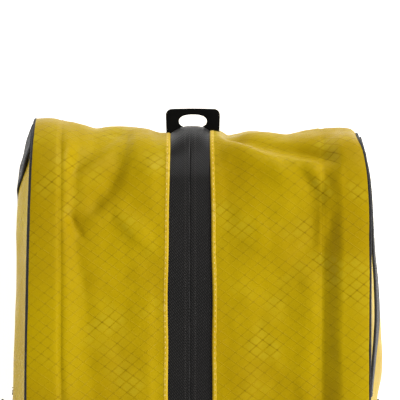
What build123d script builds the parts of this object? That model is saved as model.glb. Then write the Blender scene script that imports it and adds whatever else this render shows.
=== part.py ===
"""Duffel bag: piped side panels, a coated coil zipper along the top, lash tabs, side loops and handles."""
import os
from build123d import *

# The bag stands on its base: +Z up, +Y along the zipper, origin under the middle of the base. Millimetres.
LENGTH = 520.0
HEIGHT = 250.0
SEAM_X = 112.0              # piping line, from the middle plane
CORNER_R = 40.0             # seen from the side
SIDE_BULGE = 11.0           # how far a side panel stands out at mid height
FABRIC = 1.6
PANEL = 2.0                 # coated fabric with its backing
SINK = 8.0                  # the middle panels lie this far below the edge bands
GAP = 0.3                   # air between pieces that move or are sewn edge to edge

PIPING_R = 1.4
SIDE_EDGE = 3.0             # side panels start this far inside the piped outline

BAND_WIDTH = 22.0
BAND_SKIN = 1.2
BAND_ROUND = 5.0
FLAP_HALF = 195.0           # half the length of the part of the top that opens
MOUTH_LOW = 206.5           # the zipper's ends stop at this height on the end faces
END_TOP = 202.5
END_LOW = 40.0

TAPE_EDGE = 15.5            # exposed half width of the zipper tape
TAPE_HIDDEN = 22.0
TAPE = 1.0
COIL_GAP = 0.5
COIL_WIDTH = 3.1
COIL_HEIGHT = 2.4
STOP_LOW = 206.6
STOP_HEIGHT = 3.2

SLIDER_Y = -207.0           # parked at the rear end when the bag is closed
SLIDER_WIDTH = 11.0
SLIDER_LENGTH = 18.0
SLIDER_PLATE = 1.6
SLIDER_CORNER = 2.75
FLANGE = 1.2
POST_WIDTH = 0.4
POST_LENGTH = 4.0
POST_INSET = 1.0
BRIDGE_WIDTH = 2.6
BRIDGE_LENGTH = 8.5
BRIDGE_BAR = 1.5
BRIDGE_CLEAR = 2.4
PIN_R = 0.75
PULLER_WIDTH = 7.4
PULLER_THICK = 1.3
PULLER_LENGTH = 30.0
EYE_WIDTH = 3.8
EYE_LENGTH = 6.2
GRIP_START = 12.0
GRIP_LENGTH = 28.0
GRIP_WIDTH = 11.0
GRIP_THICK = 4.0
GRIP_CORNER = 2.75
GRIP_EDGE = 1.0

TAB_WIDTH = 36.0
TAB_THICK = 2.0
TAB_Z = 205.0
TAB_START = 252.9
TAB_END = 266.5
TAB_HINGE_GAP = 2.1
TAB_ROOT_LENGTH = 7.8
TAB_CORNER = 3.4
TAB_SHIFT = 1.8              # a tab is sewn in this far to one side of the zipper's middle
HOLE_WIDTH = 18.5
HOLE_HEIGHT = 8.6
HOLE_Y = 258.0

WEB = 2.0
WEB_WIDTH = 25.0
WEB_LOW = 34.0
HANDLE_SPREAD = 56.0        # the handle's webbing lies this far each side of the middle
HANDLE_Z = 218.0
HANDLE_X = 122.2
HANDLE_DROP = 98.0
HANDLE_CORNER = 28.0
HANDLE_LEAN = 5.5
HANDLE_WRAP_LENGTH = 80.0
HANDLE_WRAP_THICK = 7.6
HANDLE_WRAP_HEIGHT = 27.0

LOOP_WIDTH = 22.0
LOOP_TOP = 234.0
LOOP_THICK = 1.8
LOOP_NEAR = 80.0
LOOP_FAR = 238.0
LOOP_BULGE_Y = 152.0
LOOP_X = 122.0
LOOP_BULGE_X = 127.0
LEFT_LOOP_DROP = 30.0       # the left loops hang lower and stand further out
LEFT_LOOP_OUT = 2.0
ANCHOR_LENGTH = 5.0
ANCHOR_END_LENGTH = 10.0

BOARD = 3.0
BOARD_MARGIN = 12.0

SIDES = {"left": -1, "right": 1}
ENDS = {"front": 1, "rear": -1}
TOP_Z = HEIGHT - SINK
TAPE_DEPTH = SINK + FABRIC
COIL_DEPTH = TAPE_DEPTH + TAPE
BAND_OUT = SEAM_X - PIPING_R - GAP
BAND_IN = BAND_OUT - BAND_WIDTH


def save(part, name):
    """Write one piece as its own file."""
    export_step(part, os.path.join("parts", name + ".step"))


def block(x_span, y_span, z_span):
    """A box between three pairs of limits."""
    spans = (x_span, y_span, z_span)
    size = [max(span) - min(span) for span in spans]
    middle = [sum(span) / 2 for span in spans]
    return Pos(*middle) * Box(*size)


def ring(outer_depth, inner_depth, x_span):
    """A strip that follows the bag's outline in the YZ plane, between two depths below it."""
    def outline(depth):
        return RectangleRounded(LENGTH - 2 * depth, HEIGHT - 2 * depth, CORNER_R - depth)

    face = outline(outer_depth) - outline(inner_depth)
    strip = extrude(Plane.YZ * face, amount=max(x_span) - min(x_span))
    return Pos(min(x_span), 0, HEIGHT / 2) * strip


def end_zone(end, low, high=HEIGHT + GAP, near=FLAP_HALF + GAP):
    """The space beyond the part of the top that opens, at one end."""
    return block((-SEAM_X, SEAM_X), (end * near, end * LENGTH), (low, high))


def side_layer(side, inner, outer):
    """A curved sheet over a side panel, between two distances outside the panel's face."""
    edge_x = SEAM_X + PANEL / 2
    half = HEIGHT / 2

    def arc(distance):
        return (
            (side * (edge_x + distance), -half),
            (side * (edge_x + SIDE_BULGE + distance), 0),
            (side * (edge_x + distance), half),
        )

    with BuildSketch(Plane.XZ) as section:
        with BuildLine():
            near = ThreePointArc(*arc(inner))
            far = ThreePointArc(*arc(outer))
            Line(near @ 0, far @ 0)
            Line(near @ 1, far @ 1)
        make_face()
    sheet = extrude(section.sketch, amount=LENGTH / 2, both=True)
    return Pos(0, 0, HEIGHT / 2) * sheet


def side_panel(side):
    """A bulged side panel, cut to the piped outline."""
    outline = RectangleRounded(
        LENGTH - 2 * SIDE_EDGE, HEIGHT - 2 * SIDE_EDGE, CORNER_R - SIDE_EDGE
    )
    blank = Pos(0, 0, HEIGHT / 2) * extrude(Plane.YZ * outline, amount=2 * SEAM_X, both=True)
    return side_layer(side, -PANEL, 0) & blank


def piping(side):
    """The piped cord sewn into the seam all round a side panel."""
    depth = PIPING_R
    path = Plane.YZ.offset(side * SEAM_X) * RectangleRounded(
        LENGTH - 2 * depth, HEIGHT - 2 * depth, CORNER_R - depth
    )
    path = Pos(0, 0, HEIGHT / 2) * path
    wire = path.faces()[0].outer_wire()
    start = Plane(origin=wire @ 0, z_dir=wire % 0)
    return sweep(start * Circle(PIPING_R), path=wire)


def on_outline(edge, depth):
    """Whether an edge runs along the bag's outline at a depth below its surface."""
    middle = edge @ 0.5
    across = abs(middle.Y) - (LENGTH / 2 - CORNER_R)
    above = middle.Z - (HEIGHT - CORNER_R)
    if across > GAP and above > GAP:
        return abs((across ** 2 + above ** 2) ** 0.5 - (CORNER_R - depth)) < GAP
    return max(middle.Z - HEIGHT, abs(middle.Y) - LENGTH / 2) > -depth - GAP


def rounded_strip(side, inset, radius):
    """A round-topped strip beside the piping, over the top and down both ends."""
    x_span = (side * (BAND_IN + inset), side * (BAND_OUT - inset))
    zone = block((-SEAM_X, SEAM_X), (-LENGTH, LENGTH), (END_LOW + GAP, HEIGHT + GAP))
    strip = ring(inset, SINK, x_span) & zone
    edges = [
        edge for edge in strip.edges()
        if edge.bounding_box().size.X < GAP and on_outline(edge, inset)
    ]
    return fillet(edges, radius)


def edge_band(side):
    """The stiffened edge beside the piping: a fabric skin over a foam strip."""
    foam = rounded_strip(side, BAND_SKIN, BAND_ROUND - BAND_SKIN)
    return rounded_strip(side, 0, BAND_ROUND) - foam, foam


def top_flap(side):
    """The part of the top beside the zipper that folds open."""
    return block(
        (side * TAPE_EDGE, side * (BAND_IN - GAP)),
        (-FLAP_HALF, FLAP_HALF),
        (TOP_Z - FABRIC, TOP_Z),
    )


def top_end(side, end):
    """The top's fabric where it runs over an end of the bag."""
    strip = ring(SINK, TAPE_DEPTH, (side * TAPE_EDGE, side * (BAND_IN - GAP)))
    return strip & end_zone(end, MOUTH_LOW)


def zip_tape(side):
    """One half of the zipper's tape, along the part that opens."""
    high = HEIGHT - TAPE_DEPTH
    return block(
        (side * COIL_GAP, side * TAPE_HIDDEN), (-FLAP_HALF, FLAP_HALF), (high - TAPE, high)
    )


def zip_coil(side):
    """One half of the coil, on the inner face of the tape."""
    high = HEIGHT - COIL_DEPTH
    return block(
        (side * COIL_GAP, side * (COIL_GAP + COIL_WIDTH)),
        (-FLAP_HALF, FLAP_HALF),
        (high - COIL_HEIGHT, high),
    )


def zip_end(end):
    """Both halves of the tape where they run over an end of the bag."""
    halves = [
        ring(TAPE_DEPTH, COIL_DEPTH, (side * COIL_GAP, side * TAPE_HIDDEN))
        & end_zone(end, MOUTH_LOW)
        for side in SIDES.values()
    ]
    return Compound(children=halves)


def coil_end(end):
    """Both halves of the coil at an end of the bag, down to the stop."""
    outer = COIL_DEPTH
    halves = [
        ring(outer, outer + COIL_HEIGHT, (side * COIL_GAP, side * (COIL_GAP + COIL_WIDTH)))
        & end_zone(end, STOP_LOW + STOP_HEIGHT)
        for side in SIDES.values()
    ]
    return Compound(children=halves)


def zip_stop(end):
    """The crimped stop at the end of the coil."""
    y_outer = LENGTH / 2 - COIL_DEPTH
    reach = COIL_GAP + COIL_WIDTH + GAP
    return block(
        (-reach, reach),
        (end * (y_outer - COIL_HEIGHT), end * y_outer),
        (STOP_LOW, STOP_LOW + STOP_HEIGHT),
    )


def end_panel(end):
    """An end panel, leaning out a little towards the base."""
    top_y = LENGTH / 2 - SINK
    low_y = LENGTH / 2
    with BuildSketch(Plane.YZ) as section:
        with BuildLine():
            Polyline(
                (end * top_y, END_TOP),
                (end * low_y, END_LOW + GAP),
                (end * (low_y - PANEL), END_LOW + GAP),
                (end * (top_y - PANEL), END_TOP),
                close=True,
            )
        make_face()
    return extrude(section.sketch, amount=BAND_IN - GAP, both=True)


def base_panel():
    """The base, turned up at both ends."""
    strip = ring(0, PANEL, (-BAND_OUT, BAND_OUT))
    return strip & block((-SEAM_X, SEAM_X), (-LENGTH, LENGTH), (-GAP, END_LOW))


def base_board():
    """The stiffening board that lies loose on the base."""
    length = LENGTH - 2 * CORNER_R - 2 * BOARD_MARGIN
    width = 2 * (BAND_OUT - BOARD_MARGIN)
    board = Box(width, length, BOARD)
    board = fillet(board.edges().filter_by(Axis.Z), BOARD_MARGIN)
    return Pos(0, 0, PANEL + BOARD / 2) * board


def slider_body():
    """The zipper's slider: two plates round the coil, a divider post and a bridge."""
    tape_top = HEIGHT - TAPE_DEPTH
    plate_low = tape_top + GAP
    plate_top = plate_low + SLIDER_PLATE
    coil_low = HEIGHT - COIL_DEPTH - COIL_HEIGHT
    under_top = coil_low - GAP
    half = SLIDER_WIDTH / 2
    ends = (-SLIDER_LENGTH / 2, SLIDER_LENGTH / 2)
    upper = block((-half, half), ends, (plate_low, plate_top))
    upper = fillet(upper.edges().filter_by(Axis.Z), SLIDER_CORNER)
    lower = block((-half, half), ends, (under_top - SLIDER_PLATE, under_top))
    lower = fillet(lower.edges().filter_by(Axis.Z), SLIDER_CORNER)
    body = upper + lower
    for side in SIDES.values():
        rail = block(
            (side * (half - FLANGE), side * half),
            (ends[0] + SLIDER_CORNER, ends[1] - SLIDER_CORNER),
            (under_top, under_top + COIL_HEIGHT),
        )
        body += rail
    body += block(
        (-POST_WIDTH / 2, POST_WIDTH / 2),
        (ends[1] - POST_INSET - POST_LENGTH, ends[1] - POST_INSET),
        (under_top, plate_low),
    )
    reach = BRIDGE_LENGTH / 2
    bar_low = plate_top + BRIDGE_CLEAR
    bridge = block(
        (-BRIDGE_WIDTH / 2, BRIDGE_WIDTH / 2), (-reach, reach), (plate_top, bar_low + BRIDGE_BAR)
    )
    bridge = fillet(bridge.edges().filter_by(Axis.X).group_by(Axis.Z)[-1], BRIDGE_BAR)
    bridge -= block(
        (-BRIDGE_WIDTH, BRIDGE_WIDTH),
        (-reach + BRIDGE_BAR, reach - BRIDGE_BAR),
        (plate_top, bar_low),
    )
    return Pos(0, SLIDER_Y, 0) * (body + bridge)


def puller_axis_z():
    """Height of the pin that the puller turns on."""
    return HEIGHT - TAPE_DEPTH + GAP + SLIDER_PLATE + BRIDGE_CLEAR / 2


def puller():
    """The metal puller: a pin under the bridge, an eye round it and a flat tongue."""
    half = PULLER_WIDTH / 2
    plate = block((-half, half), (0, PULLER_LENGTH), (-PULLER_THICK / 2, PULLER_THICK / 2))
    plate = fillet(plate.edges().filter_by(Axis.Z).group_by(Axis.Y)[-1], half - GAP)
    eye = block((-EYE_WIDTH / 2, EYE_WIDTH / 2), (-PIN_R, EYE_LENGTH), (-PULLER_THICK, PULLER_THICK))
    pin = Rotation(0, 90, 0) * Cylinder(PIN_R, PULLER_WIDTH)
    return Pos(0, SLIDER_Y, puller_axis_z()) * (plate - eye + pin)


def pull_grip():
    """The moulded grip over the puller's tongue."""
    grip = Pos(0, GRIP_START + GRIP_LENGTH / 2, 0) * Box(GRIP_WIDTH, GRIP_LENGTH, GRIP_THICK)
    grip = fillet(grip.edges().filter_by(Axis.Z), GRIP_CORNER)
    grip = fillet(grip.faces().sort_by(Axis.Z)[-1].edges(), GRIP_EDGE)
    return Pos(0, SLIDER_Y, puller_axis_z()) * grip - puller()


def tab(end):
    """A stiff lash tab at the zipper's end, with an oval hole."""
    middle = end * TAB_SHIFT
    plate = block(
        (middle - TAB_WIDTH / 2, middle + TAB_WIDTH / 2),
        (end * TAB_START, end * TAB_END),
        (TAB_Z - TAB_THICK / 2, TAB_Z + TAB_THICK / 2),
    )
    tip = plate.edges().filter_by(Axis.Z).group_by(Axis.Y)[-1 if end > 0 else 0]
    plate = fillet(tip, TAB_CORNER)
    hole = extrude(SlotOverall(HOLE_WIDTH, HOLE_HEIGHT), amount=TAB_THICK, both=True)
    return plate - Pos(middle, end * HOLE_Y, TAB_Z) * hole


def tab_root(end):
    """The part of a lash tab that is sewn into the seam."""
    middle = end * TAB_SHIFT
    outer = TAB_START - TAB_HINGE_GAP
    return block(
        (middle - TAB_WIDTH / 2, middle + TAB_WIDTH / 2),
        (end * (outer - TAB_ROOT_LENGTH), end * outer),
        (TAB_Z - TAB_THICK / 2, TAB_Z + TAB_THICK / 2),
    )


def handle_webs(side):
    """Two lengths of webbing sewn up a side panel, which carry the handle."""
    layer = side_layer(side, GAP / 2, WEB + GAP / 2)
    strips = [
        layer & block(
            (0, side * LENGTH),
            (place - WEB_WIDTH / 2, place + WEB_WIDTH / 2),
            (WEB_LOW, HANDLE_Z),
        )
        for place in (-HANDLE_SPREAD, HANDLE_SPREAD)
    ]
    return Compound(children=strips)


def hung(side, piece):
    """Put a piece built round the handle's fold line in place, leaning off the panel."""
    return Pos(side * HANDLE_X, 0, HANDLE_Z) * Rotation(0, -side * HANDLE_LEAN, 0) * piece


def handle(side):
    """The webbing handle, hanging from its fold line."""
    outer_half = HANDLE_SPREAD + WEB_WIDTH / 2
    inner_half = HANDLE_SPREAD - WEB_WIDTH / 2
    outer = block((-WEB / 2, WEB / 2), (-outer_half, outer_half), (-HANDLE_DROP, -GAP))
    outer = fillet(outer.edges().filter_by(Axis.X).group_by(Axis.Z)[0], HANDLE_CORNER)
    inner = block((-WEB, WEB), (-inner_half, inner_half), (-HANDLE_DROP + WEB_WIDTH, WEB))
    inner = fillet(
        inner.edges().filter_by(Axis.X).group_by(Axis.Z)[0], HANDLE_CORNER - WEB_WIDTH
    )
    return hung(side, outer - inner)


def handle_wrap(side):
    """The padded wrap round the middle of a handle."""
    wrap = Box(HANDLE_WRAP_THICK, HANDLE_WRAP_LENGTH, HANDLE_WRAP_HEIGHT)
    wrap = fillet(wrap.edges().filter_by(Axis.Y), HANDLE_WRAP_THICK / 2 - GAP)
    wrap = Pos(0, 0, -HANDLE_DROP + WEB_WIDTH / 2) * wrap
    return hung(side, wrap) - handle(side)


def side_loop(side, end):
    """A strap bowed along the top of a side, from the end corner to the handle's webbing."""
    with BuildSketch() as section:
        with BuildLine():
            inner = ThreePointArc(*loop_line(side, end, -LOOP_THICK / 2))
            outer = ThreePointArc(*loop_line(side, end, LOOP_THICK / 2))
            Line(inner @ 0, outer @ 0)
            Line(inner @ 1, outer @ 1)
        make_face()
    strap = extrude(section.sketch, amount=LOOP_WIDTH)
    return Pos(0, 0, loop_top(side) - LOOP_WIDTH) * strap


def loop_top(side):
    """Height of a side loop's upper edge."""
    return LOOP_TOP if side > 0 else LOOP_TOP - LEFT_LOOP_DROP


def loop_line(side, end, offset):
    """Three points along a side loop's curve, seen from above."""
    out = offset if side > 0 else offset + LEFT_LOOP_OUT
    return (
        (side * (LOOP_X + out), end * LOOP_NEAR),
        (side * (LOOP_BULGE_X + out), end * LOOP_BULGE_Y),
        (side * (LOOP_X + out), end * LOOP_FAR),
    )


def loop_anchors(side):
    """The sewn-down ends of both loops on one side."""
    layer = side_layer(side, GAP / 2, WEB + GAP / 2)
    near = (LOOP_NEAR - ANCHOR_LENGTH - GAP, LOOP_NEAR - GAP)
    far = (LOOP_FAR + GAP, LOOP_FAR + GAP + ANCHOR_END_LENGTH)
    patches = [
        layer & block(
            (0, side * LENGTH),
            (end * span[0], end * span[1]),
            (loop_top(side) - LOOP_WIDTH, loop_top(side)),
        )
        for end in ENDS.values()
        for span in (near, far)
    ]
    return Compound(children=patches)


def main():
    os.makedirs("parts", exist_ok=True)
    for side_name, side in SIDES.items():
        save(side_panel(side), "side_panel_" + side_name)
        save(piping(side), "piping_" + side_name)
        skin, foam = edge_band(side)
        save(skin, "edge_band_" + side_name)
        save(foam, "edge_foam_" + side_name)
        save(top_flap(side), "top_flap_" + side_name)
        save(zip_tape(side), "zip_tape_" + side_name)
        save(zip_coil(side), "zip_coil_" + side_name)
        save(handle_webs(side), "handle_webs_" + side_name)
        save(handle(side), "handle_" + side_name)
        save(handle_wrap(side), "handle_wrap_" + side_name)
        save(loop_anchors(side), "loop_anchors_" + side_name)
        for end_name, end in ENDS.items():
            save(top_end(side, end), "top_end_" + side_name + "_" + end_name)
            save(side_loop(side, end), "side_loop_" + side_name + "_" + end_name)
    for end_name, end in ENDS.items():
        save(end_panel(end), "end_panel_" + end_name)
        save(zip_end(end), "zip_end_" + end_name)
        save(coil_end(end), "coil_end_" + end_name)
        save(zip_stop(end), "zip_stop_" + end_name)
        save(tab(end), "lash_tab_" + end_name)
        save(tab_root(end), "tab_root_" + end_name)
    save(base_panel(), "base_panel")
    save(base_board(), "base_board")
    save(slider_body(), "slider_body")
    save(puller(), "puller")
    save(pull_grip(), "pull_grip")


main()
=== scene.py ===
import math

import bpy
import numpy as np
from mathutils import Matrix, Vector


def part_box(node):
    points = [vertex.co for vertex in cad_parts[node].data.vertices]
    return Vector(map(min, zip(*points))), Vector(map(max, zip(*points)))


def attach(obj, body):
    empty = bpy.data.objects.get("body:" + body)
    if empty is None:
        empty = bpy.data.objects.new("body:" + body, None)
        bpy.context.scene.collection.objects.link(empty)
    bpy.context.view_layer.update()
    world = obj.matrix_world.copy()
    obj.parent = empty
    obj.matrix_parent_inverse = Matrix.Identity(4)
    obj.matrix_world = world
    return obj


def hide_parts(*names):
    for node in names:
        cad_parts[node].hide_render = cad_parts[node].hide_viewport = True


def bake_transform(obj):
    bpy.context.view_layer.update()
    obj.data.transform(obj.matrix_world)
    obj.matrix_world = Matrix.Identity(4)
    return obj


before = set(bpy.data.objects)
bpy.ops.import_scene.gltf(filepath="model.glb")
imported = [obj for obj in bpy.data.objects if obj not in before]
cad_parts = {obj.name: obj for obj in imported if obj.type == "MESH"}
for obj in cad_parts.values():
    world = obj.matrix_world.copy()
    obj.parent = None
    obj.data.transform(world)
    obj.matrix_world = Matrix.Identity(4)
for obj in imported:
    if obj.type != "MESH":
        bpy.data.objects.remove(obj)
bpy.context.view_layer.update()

# Lengths are in millimetres in the frame's axes, and turned into metres where a mesh is made.
MM = 0.001
SIDES = {"left": -1, "right": 1}
ENDS = {"front": 1, "rear": -1}


def box_mm(node):
    """A CAD node's lowest and highest corners, in millimetres."""
    low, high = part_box(node)
    return np.array(low) / MM, np.array(high) / MM


# ---- driving dimensions, read from the frame -------------------------------------------------

BAND_HIGH = box_mm("edge_band_right")[1]
HALF_LENGTH = BAND_HIGH[1]
HEIGHT = BAND_HIGH[2]
CORNER_R = box_mm("base_panel")[1][2]
TAPE_DEPTH = HEIGHT - box_mm("zip_tape_right")[1][2]
TAPE_HIDDEN = box_mm("zip_tape_right")[1][0]
HEM_X = box_mm("top_flap_right")[0][0]
FOLD_X = box_mm("top_flap_right")[1][0]
SEAM_Z = box_mm("zip_end_front")[0][2]
TAB_Z = float(np.mean([corner[2] for corner in box_mm("lash_tab_front")]))

STRAIGHT = HALF_LENGTH - CORNER_R
QUARTER = CORNER_R * math.pi / 2
UPRIGHT = HEIGHT - 2 * CORNER_R
S_SEAM = STRAIGHT + QUARTER + HEIGHT - CORNER_R - SEAM_Z
S_BASE = STRAIGHT + QUARTER + UPRIGHT
S_END = 2 * (STRAIGHT + QUARTER) + UPRIGHT

PIPING_R = 1.2
FABRIC_THICK = 0.8
BASE_THICK = 1.0
TAPE_THICK = 0.7
STEP = 1.5              # between the rows of a sheet's mesh

CAMERA_DISTANCE = 2500.0
CAMERA_AIM = (6.6, 205.0)
CAMERA_SPAN = 264.0
SENSOR = 36.0


# ---- small maths -----------------------------------------------------------------------------

def smooth(low, high, value):
    """A smooth step from 0 at low to 1 at high."""
    t = np.clip((value - low) / (high - low), 0.0, 1.0)
    return t * t * (3.0 - 2.0 * t)


def ripple(x, y, scale, seed, stretch=1.0):
    """A smooth random field of about unit height with waves about `scale` long."""
    rng = np.random.default_rng(seed)
    total = np.zeros(np.broadcast(x, y).shape)
    for _ in range(9):
        angle = rng.uniform(0, 2 * math.pi)
        length = scale * rng.uniform(0.7, 1.6)
        phase = rng.uniform(0, 2 * math.pi)
        total += np.cos(2 * math.pi * (x * math.cos(angle) + y / stretch * math.sin(angle)) / length + phase)
    return total / 3.0


def through(points, steps=8):
    """Points on a smooth curve through the given ones (Catmull-Rom)."""
    p = np.array(points, float)
    p = np.vstack([2 * p[0] - p[1], p, 2 * p[-1] - p[-2]])
    t = np.linspace(0, 1, steps, endpoint=False)[:, None]
    spans = []
    for a, b, c, d in zip(p[:-3], p[1:-2], p[2:-1], p[3:]):
        spans.append(0.5 * (2 * b + (c - a) * t + (2 * a - 5 * b + 4 * c - d) * t**2
                            + (3 * b - a - 3 * c + d) * t**3))
    return np.vstack(spans + [p[-2:-1]])


def follow(points, value):
    """The height at a value on a smooth curve through (value, height) points."""
    line = through(points, 10)
    return np.interp(value, line[:, 0], line[:, 1])


def unit(vectors):
    """Vectors at length 1."""
    return vectors / np.linalg.norm(vectors, axis=-1, keepdims=True)


def distances(path):
    """How far along a path each of its points is."""
    return np.concatenate([[0], np.cumsum(np.linalg.norm(np.diff(path, axis=0), axis=1))])


def fold_height(x, y, points, height, left, right):
    """A ridge, or a valley if height is negative, along a curve; left and right are its two widths."""
    line = through(points)
    best = np.full(x.shape, 1e9)
    along = np.zeros(x.shape)
    hand = np.ones(x.shape)
    last = len(line) - 1
    for i, (a, b) in enumerate(zip(line[:-1], line[1:])):
        ab = b - a
        t = np.clip(((x - a[0]) * ab[0] + (y - a[1]) * ab[1]) / (ab @ ab), 0, 1)
        gap = np.hypot(x - a[0] - t * ab[0], y - a[1] - t * ab[1])
        near = gap < best
        best = np.where(near, gap, best)
        along = np.where(near, (i + t) / last, along)
        turn = ab[0] * (y - a[1]) - ab[1] * (x - a[0])
        hand = np.where(near, np.sign(turn), hand)
    width = np.where(hand > 0, left, right) * (0.6 + 0.4 * np.sin(math.pi * np.clip(along, 0, 1)))
    rounded = 0.4 * np.minimum(left, right)
    shape = np.exp(-(((np.sqrt(best**2 + rounded**2) - rounded) / width) ** 1.6))
    ends = smooth(0.0, 0.2, along) * (1 - smooth(0.8, 1.0, along))
    return height * shape * (0.2 + 0.8 * ends)


# ---- the bag's shape -------------------------------------------------------------------------

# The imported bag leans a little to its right, so the zipper isn't quite in the middle of it.
# Each profile is (distance along the bag from its middle, distance from the zipper's line).
PIPING_PATH = {
    -1: [(0, 108.8), (90, 108.2), (139, 107.5), (180, 106.7), (211, 105.7), (235, 104.7), (252, 103.8),
         (262, 103.2)],
    1: [(0, 118.0), (90, 118.4), (186, 118.8), (210, 118.2), (227, 116.4), (240, 114.0), (248, 112.3),
        (262, 111.2)],
}
VALLEY_PATH = {
    -1: [(0, 57.0), (40, 59.0), (90, 62.5), (140, 67.5), (170, 72.0), (192, 75.5), (215, 74.0), (262, 70.0)],
    1: [(0, 85.5), (130, 86.0), (200, 87.5), (262, 88.0)],
}
CREST_X = {-1: 85.5, 1: 102.0}          # where an edge band's inner side is highest
VALLEY_DROP = {-1: -1.2, 1: 1.2}        # how much deeper the fold beside the band is than the panel's middle
BAND_CREASE = {-1: 0.8, 1: 0.0}         # depth of a crease along the crest
BAND_DEPTH = 0.9                        # of the band below the outline
PANEL_DEPTH = 7.6                       # of the top beside the zipper

# A side panel's swell past its piping, as (distance along the bag, most swell).
BULGE = {
    -1: [(0, 10.2), (60, 10.4), (85, 11.2), (122, 11.0), (172, 9.4), (205, 8.7), (262, 8.6)],
    1: [(0, 8.0), (62, 8.4), (84, 12.0), (100, 11.8), (125, 10.0), (160, 8.4), (262, 8.0)],
}
BULGE_REACH = {-1: (0.0, 46.0), 1: (20.0, 84.0)}        # it grows between these distances from the seam
FULLNESS = {-1: (-10.0, 50.0), 1: (36.0, 128.0)}        # and between these distances from the bag's end
GROOVE_LEFT = (193.0, 15.0, 3.2)        # height, half-width and depth of the press of the left straps

# How far the fabric lies below the outline where it runs down over an end, from left to right.
END_DEPTHS = [
    (-112, 2.4), (-103, 0.7), (-92, 0.5), (-82, 3.0), (-72, 5.2), (-64, 7.4), (-56, 6.6), (-46, 6.1),
    (-30, 7.8),
    (-18, 10.6), (16, 9.0), (25, 12.6), (31, 12.0), (42, 9.4), (62, 11.4), (70, 10.4), (78, 8.4), (92, 6.8),
    (105, 7.0), (109, 8.8), (111, 11.4), (114, 16.0),
]
LOWER_END = 10.2        # the same near the base, where the end is smoother

# Folds in the top near an end: points (x, y), height, and width on the left and right of the way along.
FOLDS = [
    ([(-40, 280), (-42.5, 252), (-44.5, 240), (-47, 228), (-53, 214), (-62, 202), (-72, 193)],
     -2.9, 4.2, 9.0),
    ([(-40, 275), (-48, 252), (-59, 240), (-72, 229), (-84, 220)], -2.6, 3.6, 7.0),
    ([(-82, 198), (-79, 192), (-75, 186), (-70, 179)], -1.6, 2.6, 3.0),
    ([(-72, 187), (-62, 193), (-51, 200), (-44, 193), (-34, 182), (-26, 172)], 1.7, 9.0, 5.0),
    ([(-36, 250), (-30, 226), (-32, 196)], 1.2, 10.0, 9.0),
    ([(8, 250), (24, 243), (40, 235.5), (54, 229), (63, 225.5), (77, 228), (87, 225), (103, 215)],
     3.4, 4.4, 9.0),
    ([(18, 254), (32, 247.5), (44, 243), (57, 240.0), (74, 236.5), (102, 229)], -5.0, 4.6, 3.8),
    ([(72, 228), (82, 222), (89, 212), (91, 201), (88, 188), (85, 170)], 2.2, 4.4, 4.0),
    ([(31, 181), (48, 175), (68, 177), (83, 191), (89, 206)], 1.2, 12.0, 5.0),
    ([(46, 168), (53, 135), (52, 92), (46, 50)], -1.8, 16.0, 13.0),
    ([(80, 170), (79, 130), (77, 84), (78, 30)], 1.6, 6.0, 7.0),
    ([(-28, 160), (-30, 110), (-28, 40)], 0.8, 5.0, 9.0),
]


def plan_y(s):
    """Distance along the bag from its middle, at a distance s along its outline."""
    turn = np.clip((np.asarray(s, float) - STRAIGHT) / CORNER_R, 0, math.pi / 2)
    return np.minimum(s, STRAIGHT) + CORNER_R * np.sin(turn)


def outline(s, depth, end):
    """The point at distance s along the bag's outline in the YZ plane, depth below it."""
    s = np.asarray(s, float)
    first = np.clip((s - STRAIGHT) / CORNER_R, 0, math.pi / 2)
    down = np.clip(s - STRAIGHT - QUARTER, 0, UPRIGHT)
    second = np.clip((s - S_BASE) / CORNER_R, 0, math.pi / 2)
    back = np.clip(s - S_BASE - QUARTER, 0, STRAIGHT)
    angle = first + second
    y = np.minimum(s, STRAIGHT) - back + (CORNER_R - depth) * np.sin(angle)
    z = HEIGHT - CORNER_R - down + (CORNER_R - depth) * np.cos(angle)
    return end * y, z


def over_end(s):
    """0 on the top, 1 on an end."""
    return smooth(0.45, 1.25, (s - STRAIGHT) / CORNER_R)


def under_base(s):
    """0 above the base's corner, 1 on the base."""
    return smooth(0.0, 1.3, (s - S_BASE) / CORNER_R)


def piping_x(side, s):
    """Distance of the piping from the zipper's line."""
    return follow(PIPING_PATH[side], plan_y(s))


def piping_depth(side, s, end):
    """Depth of the piping's middle below the outline."""
    on_end = end_depth(end * side * (follow(PIPING_PATH[side], HALF_LENGTH) - 1.0)) + 0.6
    return 1.9 + (on_end - 1.9) * over_end(s) * (1 - under_base(s))


def valley_x(side, s):
    """Distance of the bottom of the fold beside an edge band from the zipper's line."""
    return follow(VALLEY_PATH[side], plan_y(s)) + 0.5 * ripple(s, np.zeros_like(s), 120, 7 + side)


def hem_x(s):
    """Distance of the fabric's folded edge from the zipper's line."""
    return HEM_X - 1.7 * smooth(130, STRAIGHT + QUARTER * 0.8, s) + 0.12 * ripple(s, np.zeros_like(s), 60, 3)


def end_depth(x):
    """Depth of the fabric on an end, at each distance from the zipper's line."""
    return follow(END_DEPTHS, x)


def top_depth(across, s, side):
    """Depth of the fabric on the top, before its folds."""
    valley, piping = valley_x(side, s), piping_x(side, s)
    crest = np.minimum(CREST_X[side], piping - 12) + 0.5 * ripple(s, np.zeros_like(s), 90, 11 + side)
    hem = hem_x(s)
    middle = PANEL_DEPTH - smooth(hem, hem + 30, across)
    middle = middle + VALLEY_DROP[side] * smooth(hem + 26, valley, across)
    wall = smooth(valley, crest, across) ** 1.15
    outer = np.clip((across - crest) / np.maximum(piping - crest, 1), 0, 1)
    band = BAND_DEPTH - 0.3 * np.sin(math.pi * outer) + 0.5 * outer**4
    crease = BAND_CREASE[side] * np.exp(-(((across - crest) / 2.6) ** 2))
    return middle * (1 - wall) + band * wall + crease


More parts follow.
